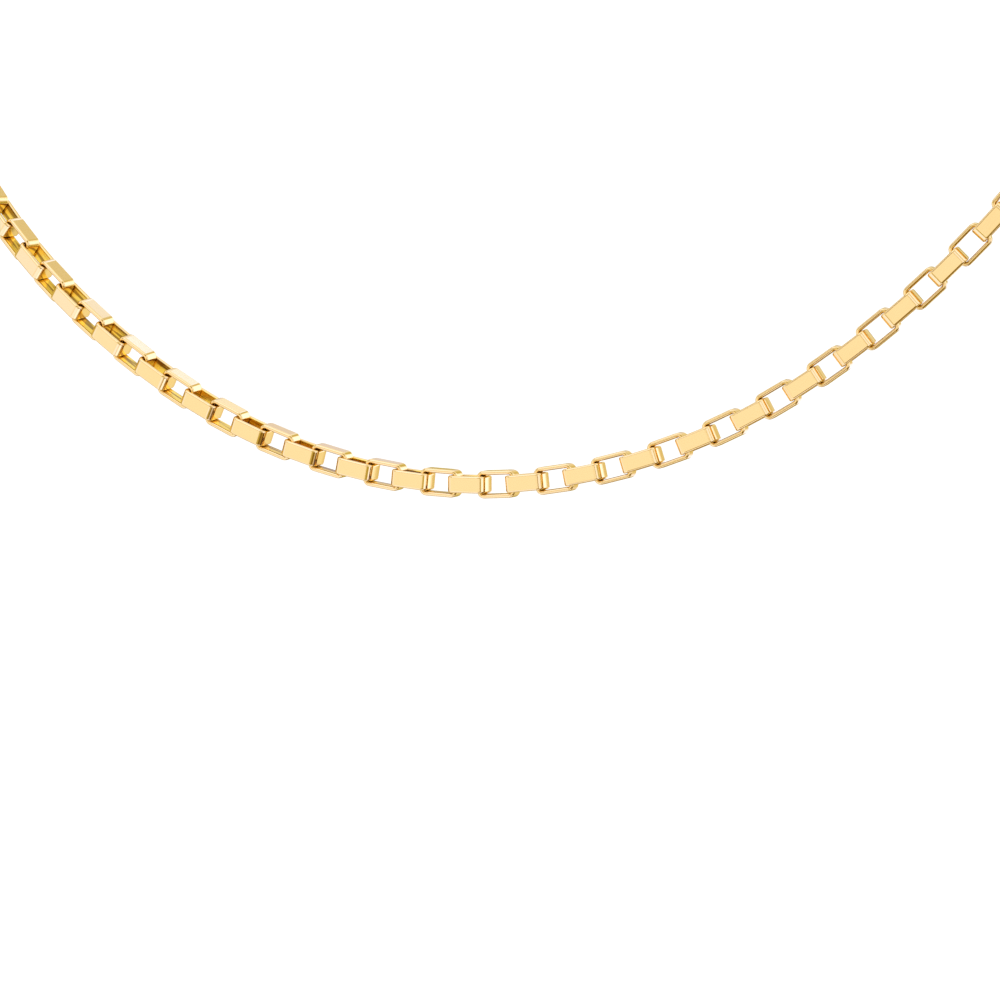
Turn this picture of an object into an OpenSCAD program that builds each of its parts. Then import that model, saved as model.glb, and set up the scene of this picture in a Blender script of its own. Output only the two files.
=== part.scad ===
// Box chain necklace, fastened, in the form that it takes round a neck.
// Millimetres. The origin is on the neck's axis, level with the clasp at the nape.
// +Z is up, -Y is the wearer's front and the loop is the same left and right of X = 0.

/* [Necklace] */
// Length round the fastened necklace, clasp included
necklace_length = 450; // [400:5:500]

/* [Links] */
// Outside length of one link along the chain
link_length = 4.11; // [3.6:0.01:6]
// Width of the flat strip that the links are folded from
strip_width = 1.68; // [1.2:0.01:2.4]
// Thickness of the strip
strip_thickness = 0.42; // [0.3:0.01:0.6]
// Inside radius where the strip is folded at a link's four corners
fold_radius = 0.12; // [0.08:0.01:0.4]
// Outside radius at the same corners
corner_radius = 0.68; // [0.5:0.01:0.8]
// Room beside a strip where it passes through the next link
side_play = 0.15; // [0.12:0.005:0.3]
// Room along the chain between the two strips of a joint that is pulled tight
end_play = 0.17; // [0.13:0.005:0.3]

/* [Clasp] */
// Whole length of the clasp
clasp_length = 15.4; // [11:0.1:20]
// Thickness of the clasp's flat ends
clasp_tab_thickness = 1.2; // [0.8:0.05:1.4]
// Thickness of the clasp's body
clasp_body_thickness = 2.2; // [1.6:0.1:3]
// Width of the bar at each end that carries the last link
clasp_bar = 1.1; // [0.7:0.05:1.2]
// Width of metal beside each eye
clasp_wall = 1; // [0.6:0.05:1.5]
// Room beside the last link's strip across the eye
eye_side_play = 0.2; // [0.15:0.01:0.4]
// Room before and behind the last link's strip along the eye
eye_end_play = 0.3; // [0.2:0.01:0.5]
// Corner radius of the clasp's flat ends
clasp_corner = 1.3; // [0.5:0.1:1.6]
// Step in from the edge of the flat ends to the clasp's body
clasp_step = 0.25; // [0.1:0.05:0.4]
// Corner radius of each eye
eye_corner = 0.2; // [0.1:0.05:0.4]

/* [Hidden] */
$fn = 48;
gold = [0.83, 0.66, 0.38];

// Half of the loop from the front, at the bottom, to the nape. These are the corner points of a
// smooth curve that runs just inside them, chosen by hand. The other half is their mirror image,
// and the whole curve is scaled to the necklace's length, which it nearly has as drawn.
ROUTE = [
    [0, -51, -82],
    [21.5, -49.5, -78],
    [38.5, -47, -69],
    [54, -42.5, -56],
    [66, -34, -40.5],
    [72.5, -23, -28],
    [75, -9, -18],
    [73, 5.5, -10.5],
    [66, 19.5, -4],
    [54.5, 32, 0],
    [39.5, 41.5, 1.5],
    [19.5, 46.5, 2],
    [0, 44, 1.5]
];
// How far the chain leans back, by share of the way from the front to the nape, left side negative.
// It turns a quarter turn on its way round, which a chain of this square section does unnoticed.
LEAN = [
    // share, degrees
    [-1, 100],
    [-0.8, 90],
    [-0.7, 82],
    [-0.6, 70],
    [-0.5, 54],
    [-0.4, 33],
    [-0.3, 9],
    [-0.25, -1],
    [-0.2, -0.5],
    [-0.16, 0.5],
    [-0.09, 5.5],
    [-0.05, 6.5],
    [0, 8],
    [0.08, 7],
    [0.14, 5.5],
    [0.2, 6],
    [0.25, 8],
    [0.3, 17],
    [0.4, 40],
    [0.5, 60],
    [0.6, 75],
    [0.7, 85],
    [0.8, 92],
    [1, 100]
];
// Steps between two points of the route
route_steps = 16;

// Sizes that follow from the link's
opening_height = strip_width + 2 * side_play;
link_height = opening_height + 2 * strip_thickness;
opening_length = link_length - 2 * strip_thickness;
taut_pitch = opening_length - end_play;

// Sizes that follow from the clasp's
eye_height = strip_width + 2 * eye_side_play;
eye_length = strip_thickness + 2 * eye_end_play;
clasp_width = eye_height + 2 * clasp_wall;
eye_x = (clasp_length - eye_length) / 2 - clasp_bar;
body_length = 2 * eye_x - eye_length - 2 * eye_end_play;
body_width = clasp_width - 2 * clasp_step;
// From the clasp's middle to the middle of its joint with the last link
clasp_reach = clasp_length / 2 - clasp_bar - end_play / 2;

function unit(v) = v / norm(v);
function mirrored(p) = [-p.x, p.y, p.z];
// One point of a uniform cubic B-spline span with the corner points a, b, c and d
function spline(a, b, c, d, t) =
    ((1 - t) ^ 3 * a + (3 * t ^ 3 - 6 * t ^ 2 + 4) * b
        + (-3 * t ^ 3 + 3 * t ^ 2 + 3 * t + 1) * c + t ^ 3 * d) / 6;

half_points = len(ROUTE);
ring = concat(ROUTE, [for (k = [half_points - 2:-1:1]) mirrored(ROUTE[k])]);
ring_count = len(ring);
open_curve = [
    for (k = [0:ring_count - 1])
        for (step = [0:route_steps - 1])
            spline(ring[(k + ring_count - 1) % ring_count], ring[k],
                ring[(k + 1) % ring_count], ring[(k + 2) % ring_count], step / route_steps)
];
curve = concat(open_curve, [open_curve[0]]);
curve_count = len(curve);
// Way run along the curve at each of its points, from the front
run = [
    for (k = 0, way = 0;
        k < curve_count;
        way = way + (k + 1 < curve_count ? norm(curve[k + 1] - curve[k]) : 0), k = k + 1)
        way
];
route_scale = necklace_length / run[curve_count - 1];
tables = [
    for (axis = [0:2])
        [for (k = [0:curve_count - 1]) [run[k], curve[k][axis]] * route_scale]
];
function wrap(way) = way < 0 ? way + necklace_length : way;
function route_point(way) = [for (axis = [0:2]) lookup(wrap(way), tables[axis])];

// The chain fills the loop outside the clasp. Its middle link is at the front with its opening
// outward, and its two end links stand the same way to the clasp, which takes 4 k + 1 links.
chain_length = necklace_length - 2 * clasp_reach;
link_count = 4 * ceil((chain_length / taut_pitch - 1) / 4) + 1;
pitch = chain_length / link_count;
// Joint 0 is at one side of the clasp and the last joint is at its other side
joints = [for (j = [0:link_count]) route_point((j - link_count / 2) * pitch)];

// A place on the loop: X along it, Y up across its flat and Z out from the neck
function frame_matrix(middle, along, lean) =
    let (
        up = unit([0, 0, 1] - along.z * along),
        out = cross(along, up),
        y = cos(lean) * up - sin(lean) * out,
        z = cos(lean) * out + sin(lean) * up
    ) [
        [along.x, y.x, z.x, middle.x],
        [along.y, y.y, z.y, middle.y],
        [along.z, y.z, z.z, middle.z],
        [0, 0, 0, 1]
    ];
function between(a, b, share) =
    frame_matrix((a + b) / 2, unit(b - a), lookup(share, LEAN));

module rounded_rectangle(length, height, radius) {
    square([length - 2 * radius, height], center = true);
    square([length, height - 2 * radius], center = true);
    for (x = [-1, 1], y = [-1, 1]) {
        translate([x * (length / 2 - radius), y * (height / 2 - radius)])
            circle(r = radius);
    }
}

// One link with its opening along Z
module link() {
    linear_extrude(strip_width, center = true) {
        difference() {
            rounded_rectangle(link_length, link_height, corner_radius);
            rounded_rectangle(opening_length, opening_height, fold_radius);
        }
    }
}

module chain() {
    color(gold) {
        for (i = [0:link_count - 1]) {
            multmatrix(between(joints[i], joints[i + 1], 2 * (i + 0.5) / link_count - 1))
                rotate([i % 2 == 0 ? 0 : 90, 0, 0])
                    link();
        }
    }
}

module clasp() {
    color(gold) {
        multmatrix(between(joints[link_count], joints[0], 1)) {
            // Flat against the neck, across the openings of the two end links
            rotate([90, 0, 0]) {
                linear_extrude(clasp_tab_thickness, center = true) {
                    difference() {
                        rounded_rectangle(clasp_length, clasp_width, clasp_corner);
                        for (side = [-1, 1]) {
                            translate([side * eye_x, 0])
                                rounded_rectangle(eye_length, eye_height, eye_corner);
                        }
                    }
                }
                linear_extrude(clasp_body_thickness, center = true)
                    rounded_rectangle(body_length, body_width, clasp_corner - clasp_step);
            }
        }
    }
}

chain();
clasp();
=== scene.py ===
"""The looks of a gold box chain necklace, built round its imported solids.

Metres, in the part's own frame: the origin is on the neck's axis, +Z is up and -Y is the front.
Each link is measured on its solid, so that the finished link lies exactly where the solid does.
"""

import math

import bpy
import numpy as np
from mathutils import Matrix, Vector
from mathutils.geometry import tessellate_polygon


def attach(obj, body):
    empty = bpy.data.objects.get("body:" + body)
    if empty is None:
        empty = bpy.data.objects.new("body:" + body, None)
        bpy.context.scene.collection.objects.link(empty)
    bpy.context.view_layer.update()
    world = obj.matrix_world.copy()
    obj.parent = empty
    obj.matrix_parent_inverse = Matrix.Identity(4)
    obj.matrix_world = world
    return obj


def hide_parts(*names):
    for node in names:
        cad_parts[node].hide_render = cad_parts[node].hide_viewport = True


MM = 0.001
# Points of the solids' meshes are rounded to this, so that those of one corner are the same
WELD = 0.001 * MM

# Links: the folded strip, rounded as a real one is and within 0.04 mm of the solids' sizes
LINK_LENGTH = 4.08 * MM
LINK_HEIGHT = 2.78 * MM
STRIP_WIDTH = 1.72 * MM
STRIP_THICKNESS = 0.44 * MM
INNER_RADIUS = 0.2 * MM
OUTER_RADIUS = 0.7 * MM
EDGE_RADIUS = 0.21 * MM
# The short ends bulge a little from the folding: degrees of slope where they meet the folds
END_BULGE = 6

# Clasp: one plain piece, a flat plate with an eye at each end and a thicker body
CLASP_LENGTH = 15.4 * MM
CLASP_CORNER = 1.3 * MM
PLATE_THICKNESS = 1.2 * MM
PLATE_EDGE = 0.15 * MM
BODY_THICKNESS = 2.2 * MM
BODY_EDGE = 0.35 * MM
BODY_FILLET = 0.06 * MM
EYE_LENGTH = 1.02 * MM
EYE_HEIGHT = 2.08 * MM
EYE_CORNER = 0.2 * MM
# Widths of plate: beyond each eye, beside it, from it to the body, and beside the body
END_BAR = 1.1 * MM
SIDE_BAR = 1.0 * MM
EYE_TO_BODY = 0.3 * MM
PLATE_RIM = 0.25 * MM
# Sizes that follow from those
CLASP_WIDTH = EYE_HEIGHT + 2 * SIDE_BAR
EYE_X = (CLASP_LENGTH - EYE_LENGTH) / 2 - END_BAR
BODY_LENGTH = 2 * EYE_X - EYE_LENGTH - 2 * EYE_TO_BODY
BODY_WIDTH = CLASP_WIDTH - 2 * PLATE_RIM
BODY_CORNER = CLASP_CORNER - PLATE_RIM

# Steps round one fold of the strip, one rounded edge and one corner of the clasp
FOLD_STEPS = 7
EDGE_STEPS = 4
CORNER_STEPS = 8
# Signs of a rectangle's four corners, anticlockwise
CORNERS = ((1, 1), (-1, 1), (-1, -1), (1, -1))

# Camera: the photograph's frame is taken as 1000 by 1000 pixels, and its angles are in degrees
IMAGE_SIZE = 1000
# Width of the sensor in millimetres
SENSOR = 36.0
FOCAL_PIXELS = 8982
CAMERA_AZIMUTH = 22
CAMERA_ELEVATION = 10
CAMERA_ROLL = -5.65
CAMERA_DISTANCE = 0.9
CAMERA_AIM = Vector((0, -50, -81)) * MM
# Where the aim lies in the picture, in pixels from its middle, right and down
AIM_RIGHT = 0.68
AIM_DOWN = -13.65
NEAREST_SEEN = 0.01
FURTHEST_SEEN = 50

# Studio: a floor well below the necklace, with a round wall standing on it
FLOOR_Z = -0.5
FLOOR_SIZE = 16
BACKDROP_RADIUS = 7.5
BACKDROP_HEIGHT = 10
BACKDROP_SIDES = 64
# A little over 1, so that both come out as plain white
STUDIO_WHITE = 1.1

# Gold: tones of the outside, and the painted shade of the faces inside the links, which stands in for the
# shade and the gold's dark reflections in there; each from the deeper to the paler
OUTSIDE_TONES = (1.0, 0.75, 0.33, 1), (1.0, 0.77, 0.36, 1)
INSIDE_PAINTED_SHADE_TONES = (0.36, 0.2, 0.02, 1), (0.95, 0.65, 0.08, 1)
# How much of the outside's tone is one link's own, and the rest is clouds
LINK_SHARE = 0.4
# Where the painted shade of the inside gives way to the outside's tone, as shares of the strip's thickness
PAINTED_SHADE_EDGE = 0.02, 0.2
# The clasp's own tone, where the links have theirs from 0 to 1
CLASP_TONE = 0.5
# Roughness of the outside, from the least scratched to the most
ROUGHNESS = 0.1, 0.15
# How much the inside adds to it, and over which share of the strip's thickness that fades
INSIDE_DULLNESS = 0.1
DULLNESS_END = 0.15
# How deep and how strong the scratches are in the shading
SCRATCH_DEPTH = 0.01 * MM
SCRATCH_STRENGTH = 0.05
# Waves of the scratches in a millimetre along a link, across it and through it, and of the clouds
SCRATCH_WAVES = 0.4, 5.0, 5.0
CLOUD_WAVES = 0.9
# The stretch of the scratch pattern over which the roughness runs
SCRATCH_RANGE = 0.3, 0.7
# Waves of the painted reflection streaks, light and dark, inside the links for each wave of the scratches
REFLECTION_STREAK_WAVES = 0.45
# The stretch of their pattern over which a painted reflection streak fades
REFLECTION_STREAK_EDGE = 0.4, 0.54
# Each link takes its patterns from its own place in them, up to so many millimetres off
PATTERN_SHIFT = 50
PATTERN_SEED = 7


def studio_camera():
    """The camera at the photograph's viewing angle."""
    azimuth = math.radians(CAMERA_AZIMUTH)
    elevation = math.radians(CAMERA_ELEVATION)
    roll = math.radians(CAMERA_ROLL)
    level = Vector((math.cos(azimuth), math.sin(azimuth), 0))
    back = Vector((
        math.sin(azimuth) * math.cos(elevation),
        -math.cos(azimuth) * math.cos(elevation),
        math.sin(elevation),
    ))
    upright = back.cross(level)
    right = level * math.cos(roll) + upright * math.sin(roll)
    up = upright * math.cos(roll) - level * math.sin(roll)
    metres_per_pixel = CAMERA_DISTANCE / FOCAL_PIXELS
    middle = CAMERA_AIM - (right * AIM_RIGHT - up * AIM_DOWN) * metres_per_pixel
    turn = Matrix((right, up, back)).transposed().to_4x4()
    data = bpy.data.cameras.new("camera")
    data.sensor_width = SENSOR
    data.lens = SENSOR * FOCAL_PIXELS / IMAGE_SIZE
    data.clip_start = NEAREST_SEEN
    data.clip_end = FURTHEST_SEEN
    camera = bpy.data.objects.new("camera", data)
    camera.matrix_world = Matrix.Translation(middle + back * CAMERA_DISTANCE) @ turn
    bpy.context.scene.collection.objects.link(camera)
    bpy.context.scene.camera = camera


def triangles_of(node):
    """Corner points of the triangles of a CAD node, and one number for each loose solid in it."""
    mesh = node.data
    mesh.calc_loop_triangles()
    points = np.empty(len(mesh.vertices) * 3)
    mesh.vertices.foreach_get("co", points)
    corners = np.empty(len(mesh.loop_triangles) * 3, dtype=np.int64)
    mesh.loop_triangles.foreach_get("vertices", corners)
    points = points.reshape(-1, 3)
    merged, place = np.unique(np.round(points / WELD), axis=0, return_inverse=True)
    corners = place.reshape(-1)[corners].reshape(-1, 3)
    group = np.arange(len(merged))
    # Points take the lowest number in their triangles until each solid has one number throughout
    while True:
        lowest = group[corners].min(axis=1)
        updated = group.copy()
        for column in range(3):
            np.minimum.at(updated, corners[:, column], lowest)
        updated = updated[updated]
        if np.array_equal(updated, group):
            break
        group = updated
    return merged[corners] * WELD, group[corners[:, 0]]


def measured_solids(node):
    """The middle of each loose solid and its three directions. The one that most surface faces is last."""
    triangles, group = triangles_of(node)
    solids = []
    for number in np.unique(group):
        a, b, c = triangles[group == number].transpose(1, 0, 2)
        # Each triangle and the origin make a tetrahedron, and the middle is that of them all
        volume = np.einsum("ij,ij->i", a, np.cross(b, c))
        middle = ((a + b + c) * volume[:, None]).sum(axis=0) / volume.sum() / 4
        normal = np.cross(b - a, c - a)
        area = np.linalg.norm(normal, axis=1)
        real = area > 0
        spread = np.einsum("ij,ik->jk", normal[real], normal[real] / area[real, None])
        solids.append((middle, np.linalg.eigh(spread)[1].T))
    return solids


def measured_links(node):
    """Where each link lies, in order round the loop: its middle, and its own frame in columns.

    The columns point along the link, out of its flat sides and through its opening.
    """
    solids = sorted(measured_solids(node), key=lambda solid: math.atan2(solid[0][0], -solid[0][1]))
    frames = []
    for i, (middle, (_, along, across)) in enumerate(solids):
        onward = solids[(i + 1) % len(solids)][0] - solids[i - 1][0]
        if along @ onward < 0:
            along = -along
        # Of the two flat sides, the one that faces out of the loop or up
        outward = np.array([middle[0], middle[1], 0]) / np.hypot(middle[0], middle[1])
        if across @ (outward + [0, 0, 1]) < 0:
            across = -across
        frames.append((middle, np.array([along, across, np.cross(along, across)]).T))
    return frames


def strip_section():
    """Round the strip's section: height from its inner face, place across its width, and normal."""
    half = STRIP_WIDTH / 2
    corners = [
        (STRIP_THICKNESS, half, 0),
        (0, half, 90),
        (0, -half, 180),
        (STRIP_THICKNESS, -half, 270),
    ]
    section = []
    for height, width, first in corners:
        middle_height = abs(height - EDGE_RADIUS)
        middle_width = math.copysign(half - EDGE_RADIUS, width)
        for step in range(EDGE_STEPS + 1):
            angle = math.radians(first + 90 * step / EDGE_STEPS)
            up, side = math.cos(angle), math.sin(angle)
            section.append((
                middle_height + EDGE_RADIUS * up,
                middle_width + EDGE_RADIUS * side,
                up,
                side,
            ))
    return section


def strip_path():
    """Round the link: a point on its inner face, one on its outer face and the way out there."""
    inner = Vector((LINK_LENGTH / 2 - STRIP_THICKNESS, LINK_HEIGHT / 2 - STRIP_THICKNESS))
    outer = Vector((LINK_LENGTH / 2, LINK_HEIGHT / 2))
    path = []
    for quarter, side in enumerate(CORNERS):
        first, last = 90 * quarter, 90 * (quarter + 1)
        if quarter % 2 == 0:
            first += END_BULGE
        else:
            last -= END_BULGE
        for step in range(FOLD_STEPS + 1):
            angle = math.radians(first + (last - first) * step / FOLD_STEPS)
            out = Vector((math.cos(angle), math.sin(angle)))
            pair = [
                Vector((side[0] * (corner.x - radius), side[1] * (corner.y - radius))) + out * radius
                for corner, radius in ((inner, INNER_RADIUS), (outer, OUTER_RADIUS))
            ]
            path.append((*pair, out))
    return path


def link_template():
    """One link round its own middle: points, normals, quads and each point's place outward on the strip."""
    section, path = strip_section(), strip_path()
    points, normals, outness = [], [], []
    for inner, outer, out in path:
        for height, width, up, side in section:
            spot = inner.lerp(outer, height / STRIP_THICKNESS)
            points.append((spot.x, spot.y, width))
            normals.append((out.x * up, out.y * up, side))
            outness.append(height / STRIP_THICKNESS)
    rows, columns = len(path), len(section)
    quads = [
        (
            row * columns + column,
            (row + 1) % rows * columns + column,
            (row + 1) % rows * columns + (column + 1) % columns,
            row * columns + (column + 1) % columns,
        )
        for row in range(rows)
        for column in range(columns)
    ]
    return np.array(points), np.array(normals), np.array(quads), np.array(outness)


def finished_mesh(name, points, faces, normals, values):
    """A smooth mesh with its normals as given and one attribute for each named value."""
    mesh = bpy.data.meshes.new(name)
    mesh.from_pydata(points, [], faces)
    mesh.polygons.foreach_set("use_smooth", np.ones(len(mesh.polygons), dtype=bool))
    mesh.normals_split_custom_set_from_vertices(normals)
    for label, numbers in values.items():
        vector = numbers.ndim == 2
        attribute = mesh.attributes.new(label, "FLOAT_VECTOR" if vector else "FLOAT", "POINT")
        attribute.data.foreach_set("vector" if vector else "value", numbers.ravel().astype(np.float32))
    return mesh


def chain_mesh(frames):
    """All the links as one mesh, with each point's place in its own link kept for the material; its place
    outward on the strip sets where the shade inside is painted.
    """
    points, normals, quads, outness = link_template()
    rng = np.random.default_rng(PATTERN_SEED)
    count = len(frames)
    shifts = rng.uniform(-PATTERN_SHIFT, PATTERN_SHIFT, (count, 3))
    return finished_mesh(
        "chain_links",
        np.concatenate([points @ turn.T + middle for middle, turn in frames]),
        np.concatenate([quads + i * len(points) for i in range(count)]).tolist(),
        np.concatenate([normals @ turn.T for _, turn in frames]),
        {
            "place": np.concatenate([points / MM + shift for shift in shifts]),
            "tone": np.repeat(rng.random(count), len(points)),
            "outness": np.tile(outness, count),
        },
    )


class RingSolid:
    """A solid that is alike above and below its middle plane, made of rings and level faces."""

    def __init__(self):
        self.points, self.normals, self.faces = [], [], []

    def wall(self, shape, stations, x=0.0, inward=False):
        """Rings round a rounded rectangle, one for each station, with quads between them.

        A station is how far from the rectangle its ring lies, out of the metal, then the ring's height
        and the angle by which its normal leans up. An inward wall is that of a hole. Returns the first
        ring and the last.
        """
        length, width, radius = shape
        way = -1 if inward else 1
        rings = []
        for grow, z, lean in stations:
            ring = []
            for quarter, side in enumerate(CORNERS):
                for step in range(CORNER_STEPS + 1):
                    angle = math.pi / 2 * (quarter + step / CORNER_STEPS)
                    out = Vector((math.cos(angle), math.sin(angle)))
                    corner = Vector((side[0] * (length / 2 - radius), side[1] * (width / 2 - radius)))
                    spot = corner + out * (radius + way * grow)
                    level = way * math.cos(lean)
                    ring.append(len(self.points))
                    self.points.append((spot.x + x, spot.y, z))
                    self.normals.append((out.x * level, out.y * level, math.sin(lean)))
            rings.append(ring[::way])
        for lower, upper in zip(rings, rings[1:]):
            for k in range(len(lower)):
                self.faces.append((lower[k - 1], lower[k], upper[k], upper[k - 1]))
        return rings[0], rings[-1]

    def flat(self, *rings):
        """A level face inside the first ring and outside the others."""
        order = [number for ring in rings for number in ring]
        spots = [[Vector(self.points[number]) for number in ring] for ring in rings]
        for triangle in tessellate_polygon(spots):
            a, b, c = (order[k] for k in triangle)
            first, second, third = (Vector(self.points[number]) for number in (a, b, c))
            upward = (second - first).cross(third - first).z > 0
            self.faces.append((a, b, c) if upward else (a, c, b))

    def both_halves(self):
        """Points, normals and faces with the mirrored lower half joined on at the middle plane."""
        points, normals = list(self.points), list(self.normals)
        twins = []
        for number, (x, y, z) in enumerate(self.points):
            if z == 0:
                twins.append(number)
            else:
                twins.append(len(points))
                points.append((x, y, -z))
                across, along, up = self.normals[number]
                normals.append((across, along, -up))
        lower = [tuple(twins[number] for number in reversed(face)) for face in self.faces]
        return np.array(points), np.array(normals), self.faces + lower


def edge_turns():
    """Angles of a quarter turn in even steps."""
    return [math.pi / 2 * step / EDGE_STEPS for step in range(EDGE_STEPS + 1)]


def rounded_over(top, edge):
    """Stations up a wall's edge, rounded over into the level face on top."""
    return [
        (edge * (math.cos(turn) - 1), top + edge * (math.sin(turn) - 1), turn)
        for turn in edge_turns()
    ]


def filleted(foot, fillet):
    """Stations out of a level face and up into a wall."""
    return [
        (fillet * (1 - math.sin(turn)), foot + fillet * (1 - math.cos(turn)), math.pi / 2 - turn)
        for turn in edge_turns()
    ]


def clasp_mesh(node):
    """The clasp where its solid lies: a plate with an eye at each end, and a thicker body in the middle.

    The plate and the body are rounded at their edges, with a small fillet between them.
    """
    (middle, (along, across, _)), = measured_solids(node)
    turn = np.array([along, across, np.cross(along, across)]).T
    solid = RingSolid()
    plate_top = PLATE_THICKNESS / 2
    plate_wall = [(0, 0, 0), *rounded_over(plate_top, PLATE_EDGE)]
    body_wall = filleted(plate_top, BODY_FILLET) + rounded_over(BODY_THICKNESS / 2, BODY_EDGE)
    rim = solid.wall((CLASP_LENGTH, CLASP_WIDTH, CLASP_CORNER), plate_wall)[1]
    eyes = [
        solid.wall((EYE_LENGTH, EYE_HEIGHT, EYE_CORNER), plate_wall, side * EYE_X, inward=True)[1]
        for side in (-1, 1)
    ]
    foot, brow = solid.wall((BODY_LENGTH, BODY_WIDTH, BODY_CORNER), body_wall)
    solid.flat(rim, *eyes, foot)
    solid.flat(brow)
    points, normals, faces = solid.both_halves()
    return finished_mesh(
        "clasp_plate",
        points @ turn.T + middle,
        faces,
        normals @ turn.T,
        {"place": points / MM, "tone": np.full(len(points), CLASP_TONE), "outness": np.ones(len(points))},
    )


class Nodes:
    """Short names for adding nodes to a tree and linking them."""

    def __init__(self, tree):
        self.tree = tree
        tree.nodes.clear()

    def add(self, kind, inputs=None, **settings):
        """A new node, with each input linked to a socket or set to a value."""
        node = self.tree.nodes.new(kind)
        for name, value in settings.items():
            setattr(node, name, value)
        for key, value in (inputs or {}).items():
            if isinstance(value, bpy.types.NodeSocket):
                self.tree.links.new(value, node.inputs[key])
            else:
                node.inputs[key].default_value = value
        return node

    def math(self, operation, *values):
        """The result of one operation on two values."""
        return self.add("ShaderNodeMath", dict(enumerate(values)), operation=operation).outputs[0]

    def spread(self, value, from_low, from_high, to_low, to_high, smooth=False):
        """A value that runs over one range, run over another."""
        kind = "SMOOTHSTEP" if smooth else "LINEAR"
        return self.add(
            "ShaderNodeMapRange",
            {0: value, 1: from_low, 2: from_high, 3: to_low, 4: to_high},
            interpolation_type=kind,
        ).outputs[0]

    def mix(self, share, first, second):
        """A colour between two others."""
        # The node has sockets of every type, and these are the ones for colours
        return self.add(
            "ShaderNodeMix", {0: share, 6: first, 7: second}, data_type="RGBA"
        ).outputs[2]

    def noise(self, place, **settings):
        """A cloudy pattern between 0 and 1."""
        return self.add("ShaderNodeTexNoise", {"Vector": place, **settings}).outputs["Fac"]


def gold_with_painted_shade():
    """Polished gold plate: bright outside; inside the links duller, with painted shade that makes it deeper
    and painted reflections that make it streaky.
    """
    material = bpy.data.materials.new("polished_gold")
    material.use_nodes = True
    nodes = Nodes(material.node_tree)
    place = nodes.add("ShaderNodeAttribute", attribute_name="place").outputs["Vector"]
    tone = nodes.add("ShaderNodeAttribute", attribute_name="tone").outputs["Fac"]
    outness = nodes.add("ShaderNodeAttribute", attribute_name="outness").outputs["Fac"]
    clouds = nodes.noise(place, Scale=CLOUD_WAVES, Detail=3.0)
    stretched = nodes.add("ShaderNodeMapping", {"Vector": place, "Scale": SCRATCH_WAVES}).outputs[0]
    scratches = nodes.noise(stretched, Scale=1.0, Detail=4.0, Roughness=0.6)
    # Painted reflections: soft streaks of light and dark inside the links, from a wide noise
    painted_reflection_bands = nodes.noise(stretched, Scale=REFLECTION_STREAK_WAVES, Detail=1.0)
    painted_reflection_streaks = nodes.spread(painted_reflection_bands, *REFLECTION_STREAK_EDGE, 0.0, 1.0, smooth=True)
    shade = nodes.math(
        "ADD", nodes.math("MULTIPLY", clouds, 1 - LINK_SHARE), nodes.math("MULTIPLY", tone, LINK_SHARE)
    )
    outside = nodes.mix(shade, *OUTSIDE_TONES)
    # Painted shade: the faces inside the links get a deeper gold than the outside, streaked by the painted
    # reflections
    inside = nodes.mix(painted_reflection_streaks, *INSIDE_PAINTED_SHADE_TONES)
    # The painted shade fades into the outside's tone away from the inner face of the strip
    colour = nodes.mix(nodes.spread(outness, *PAINTED_SHADE_EDGE, 0.0, 1.0, smooth=True), inside, outside)
    worked = nodes.spread(scratches, *SCRATCH_RANGE, *ROUGHNESS)
    dullness = nodes.spread(outness, 0.0, DULLNESS_END, INSIDE_DULLNESS, 0.0)
    rough = nodes.math("ADD", worked, dullness)
    bump = nodes.add(
        "ShaderNodeBump", {"Strength": SCRATCH_STRENGTH, "Distance": SCRATCH_DEPTH, "Height": scratches}
    )
    shader = nodes.add(
        "ShaderNodeBsdfPrincipled",
        {"Base Color": colour, "Metallic": 1.0, "Roughness": rough, "Normal": bump.outputs[0]},
    )
    nodes.add("ShaderNodeOutputMaterial", {"Surface": shader.outputs[0]})
    return material


def direction(azimuth, elevation):
    """A unit vector: azimuth 0 is the front and grows to the right, elevation grows upward."""
    a, e = math.radians(azimuth), math.radians(elevation)
    return (math.sin(a) * math.cos(e), -math.cos(a) * math.cos(e), math.sin(e))


# A light and a shade that several patches share
FRONT_LIGHT = (1.05, 1.0, 1.05)
DEEP_SHADE = (0.28, 0.16, 0.03)
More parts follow.
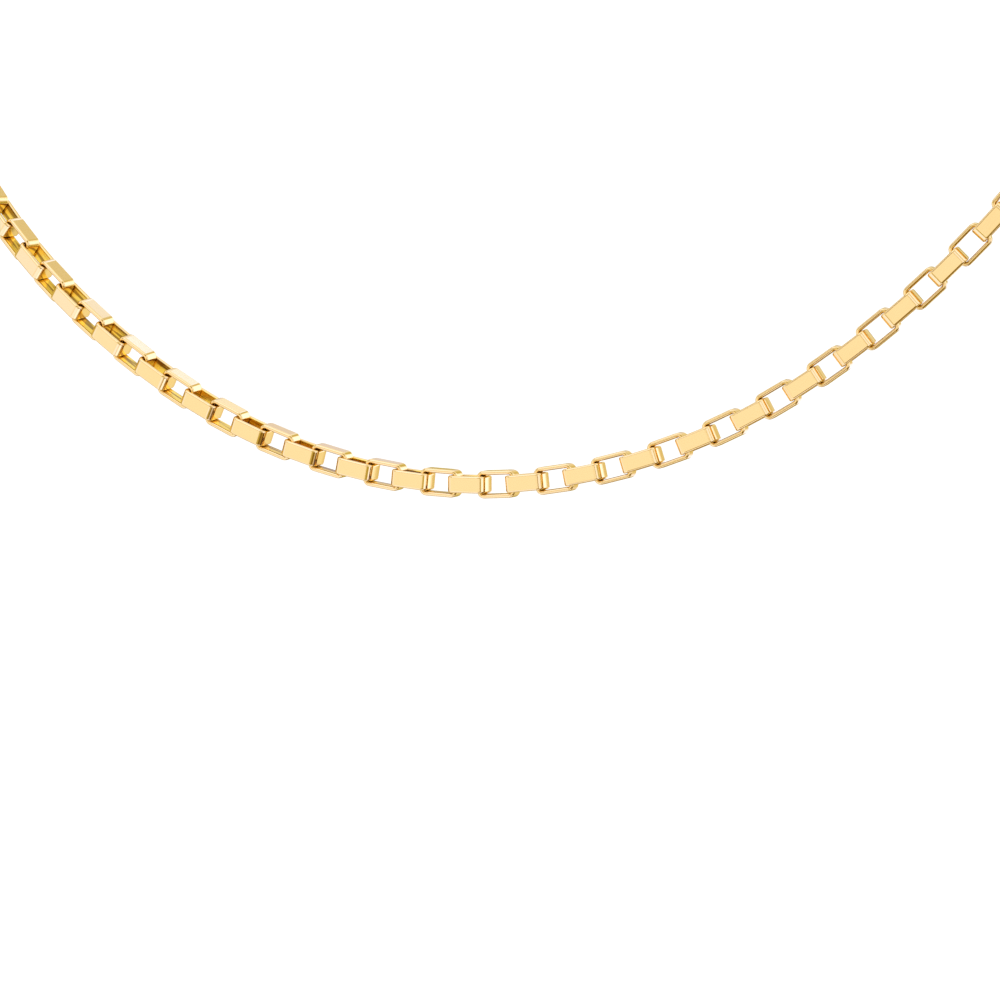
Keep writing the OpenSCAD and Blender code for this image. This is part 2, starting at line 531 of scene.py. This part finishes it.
# The light tent round the necklace. Each row is a soft round patch: azimuth, elevation, radius of its
# even part and radius where it ends, in degrees, then its light
TENT = [
    # azimuth, elevation, inner, outer, light
    (-72, -34, 12, 24, (1.0, 0.98, 1.25)),
    (-85, 30, 14, 24, (1.1, 1.1, 1.4)),
    (-68, -6, 12, 28, (1.05, 1.04, 1.4)),
    (-38, -1, 14, 26, FRONT_LIGHT),
    (-26, -24, 7, 14, (1.1, 1.12, 1.6)),
    (-34, 60, 15, 24, (1.3, 1.35, 2.0)),
    (-28, 36, 7, 13, (1.1, 1.1, 1.5)),
    (-36, -42, 14, 28, (1.1, 1.12, 1.6)),
    (-105, -62, 12, 24, (0.8, 0.75, 0.8)),
    (-12, 25, 6, 12, DEEP_SHADE),
    (-54, 37, 6, 13, DEEP_SHADE),
    (-18, 4, 8, 14, FRONT_LIGHT),
    (-7, 1, 5, 10, FRONT_LIGHT),
    (1, 1, 5, 10, FRONT_LIGHT),
    (10, 4, 5, 10, FRONT_LIGHT),
    (20, 6, 6, 11, FRONT_LIGHT),
    (44, 18, 12, 20, (1.1, 1.1, 1.5)),
    (88, 32, 14, 24, (1.15, 1.2, 1.7)),
    (32, 44, 8, 16, (0.28, 0.17, 0.04)),
    (62, -12, 14, 23, (1.3, 1.3, 1.9)),
    (60, -46, 12, 22, DEEP_SHADE),
    (20, -60, 12, 20, (1.3, 1.3, 1.9)),
    (20, -27, 10, 18, (0.22, 0.12, 0.02)),
    (27, 5, 3, 8, (0.35, 0.24, 0.07)),
    (80, -36, 15, 25, (0.1, 0.04, 0.01)),
    (160, -16, 20, 30, (0.76, 0.63, 0.3)),
    (150, -38, 13, 22, (0.95, 0.86, 0.62)),
    (133, 2, 20, 32, (1.5, 1.5, 2.0)),
    (-155, 42, 10, 22, (0.85, 0.85, 1.0)),
    (155, 47, 9, 18, (0.76, 0.7, 0.55)),
    (177, 38, 8, 14, (1.15, 1.3, 2.2)),
    (-175, 27, 6, 11, (1.0, 1.02, 1.15)),
    (-166, 14, 7, 14, (0.8, 0.75, 0.85)),
    (-178, 8, 5, 14, (0.85, 0.75, 0.5)),
    (-178, -17, 6, 13, (1.2, 1.2, 1.6)),
]
# Light of the tent's wall by height, from straight down to straight up
WALL = [
    # height, light
    (-1.0, (0.36, 0.25, 0.07)),
    (-0.5, (0.52, 0.41, 0.09)),
    (0.0, (0.59, 0.48, 0.12)),
    (0.6, (0.65, 0.56, 0.22)),
    (0.85, (1.05, 1.0, 1.0)),
    (1.0, (1.1, 1.05, 1.1)),
]


def light_tent():
    """A tent of light as the world, brighter above, with soft patches of light and shade."""
    world = bpy.data.worlds.new("light_tent")
    world.use_nodes = True
    nodes = Nodes(world.node_tree)
    way = nodes.add("ShaderNodeTexCoord").outputs["Generated"]
    height = nodes.add("ShaderNodeSeparateXYZ", {0: way}).outputs["Z"]
    ramp = nodes.add("ShaderNodeValToRGB", {0: nodes.spread(height, -1.0, 1.0, 0.0, 1.0)})
    stops = ramp.color_ramp.elements
    ready = len(stops)
    for index, (level, shade) in enumerate(WALL):
        spot = (level + 1) / 2
        stop = stops[index] if index < ready else stops.new(spot)
        stop.position = spot
        stop.color = (*shade, 1)
    light = ramp.outputs["Color"]
    for azimuth, elevation, inner, outer, shade in TENT:
        near = nodes.add(
            "ShaderNodeVectorMath", {0: way, 1: direction(azimuth, elevation)}, operation="DOT_PRODUCT"
        ).outputs["Value"]
        share = nodes.spread(
            near, math.cos(math.radians(outer)), math.cos(math.radians(inner)), 0.0, 1.0, smooth=True
        )
        light = nodes.mix(share, light, (*shade, 1))
    background = nodes.add("ShaderNodeBackground", {"Color": light, "Strength": 1.0})
    nodes.add("ShaderNodeOutputWorld", {"Surface": background.outputs[0]})
    bpy.context.scene.world = world


def studio_piece(name, points, faces):
    """A plain white part of the studio, which the camera alone sees, so the gold's light stays even."""
    mesh = bpy.data.meshes.new(name)
    mesh.from_pydata(points, [], faces)
    material = bpy.data.materials.new(name)
    material.use_nodes = True
    nodes = Nodes(material.node_tree)
    white = nodes.add("ShaderNodeEmission", {"Color": (1, 1, 1, 1), "Strength": STUDIO_WHITE})
    nodes.add("ShaderNodeOutputMaterial", {"Surface": white.outputs[0]})
    mesh.materials.append(material)
    piece = bpy.data.objects.new(name, mesh)
    piece.visible_diffuse = False
    piece.visible_glossy = False
    piece.visible_shadow = False
    bpy.context.scene.collection.objects.link(piece)


def pale_floor():
    """A plain pale floor, well below the necklace."""
    half = FLOOR_SIZE / 2
    corners = [(-half, -half), (half, -half), (half, half), (-half, half)]
    studio_piece("floor", [(x, y, FLOOR_Z) for x, y in corners], [(0, 1, 2, 3)])


def backdrop():
    """A plain wall all round, which shows behind the necklace in level views."""
    turns = [2 * math.pi * side / BACKDROP_SIDES for side in range(BACKDROP_SIDES)]
    points = [
        (BACKDROP_RADIUS * math.cos(turn), BACKDROP_RADIUS * math.sin(turn), z)
        for z in (FLOOR_Z, FLOOR_Z + BACKDROP_HEIGHT)
        for turn in turns
    ]
    faces = []
    for side in range(BACKDROP_SIDES):
        after = (side + 1) % BACKDROP_SIDES
        faces.append((side, after, after + BACKDROP_SIDES, side + BACKDROP_SIDES))
    studio_piece("backdrop", points, faces)


def dressed(name, mesh, material, node):
    """A finished piece that stands for a CAD node."""
    mesh.materials.append(material)
    piece = bpy.data.objects.new(name, mesh)
    bpy.context.scene.collection.objects.link(piece)
    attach(piece, "root")
    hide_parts(node)


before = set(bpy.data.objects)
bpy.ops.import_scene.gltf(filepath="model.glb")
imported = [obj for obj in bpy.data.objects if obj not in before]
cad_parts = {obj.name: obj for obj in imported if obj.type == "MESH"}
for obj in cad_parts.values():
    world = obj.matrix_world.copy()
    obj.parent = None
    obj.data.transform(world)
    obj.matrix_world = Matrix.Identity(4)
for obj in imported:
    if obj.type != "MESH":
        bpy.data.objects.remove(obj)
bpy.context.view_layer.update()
bpy.context.scene.view_settings.view_transform = "Standard"
studio_camera()
light_tent()
pale_floor()
backdrop()
gold = gold_with_painted_shade()
dressed("chain_links", chain_mesh(measured_links(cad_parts["chain"])), gold, "chain")
dressed("clasp_plate", clasp_mesh(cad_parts["clasp"]), gold, "clasp")
